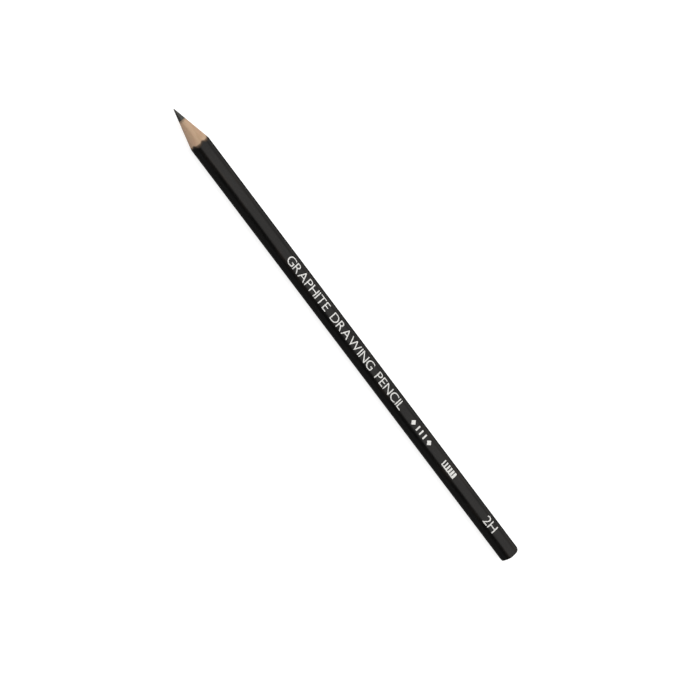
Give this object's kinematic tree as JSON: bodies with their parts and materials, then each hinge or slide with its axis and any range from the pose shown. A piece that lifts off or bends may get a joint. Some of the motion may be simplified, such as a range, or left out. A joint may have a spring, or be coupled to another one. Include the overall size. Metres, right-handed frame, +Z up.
{
  "type": "graphite pencil",
  "caption": "Slim hexagonal wood-cased graphite pencil, black lacquer with pale stamped marks, sharpened at one end and dipped at the other.",
  "frame": {"origin": "on the surface the pencil lies on, under the middle of its length and width", "axes": "+X along the pencil's axis from the writing point to the butt end, +Z up through the stamped flat, +Y towards the tops of the stamped letters"},
  "size_m": [0.176, 0.0064, 0.0062],
  "materials": {
    "graphite": "fired graphite and clay, dull metallic sheen",
    "cedar": "bare pinkish-tan wood, cut fine on the cone",
    "glue": "thin dried wood adhesive",
    "primer": "dark brown undercoat, seen only as a rim at the sharpened end",
    "lacquer": "black lacquer, satin gloss",
    "foil": "pale stamped foil, low sheen"
  },
  "bodies": {
    "root": {"casing_slat_lower": "cedar", "casing_slat_upper": "cedar", "core_bond": "glue", "end_dip": "lacquer", "foil_2h_1_2": "foil", "foil_2h_2_H": "foil", "foil_dash_1": "foil", "foil_dash_2": "foil", "foil_dash_3": "foil", "foil_drawing_1_D": "foil", "foil_drawing_2_R": "foil", "foil_drawing_3_A": "foil", "foil_drawing_4_W": "foil", "foil_drawing_5_I": "foil", "foil_drawing_6_N": "foil", "foil_drawing_7_G": "foil", "foil_graphite_1_G": "foil", "foil_graphite_2_R": "foil", "foil_graphite_3_A": "foil", "foil_graphite_4_P": "foil", "foil_graphite_5_H": "foil", "foil_graphite_6_I": "foil", "foil_graphite_7_T": "foil", "foil_graphite_8_E": "foil", "foil_line_scale": "foil", "foil_lozenge_left": "foil", "foil_lozenge_right": "foil", "foil_pencil_1_P": "foil", "foil_pencil_2_E": "foil", "foil_pencil_3_N": "foil", "foil_pencil_4_C": "foil", "foil_pencil_5_I": "foil", "foil_pencil_6_L": "foil", "glue_line_front": "glue", "glue_line_rear": "glue", "graphite_core": "graphite", "lacquer_coat": "lacquer", "primer_coat": "primer"}
  },
  "joints": []
}
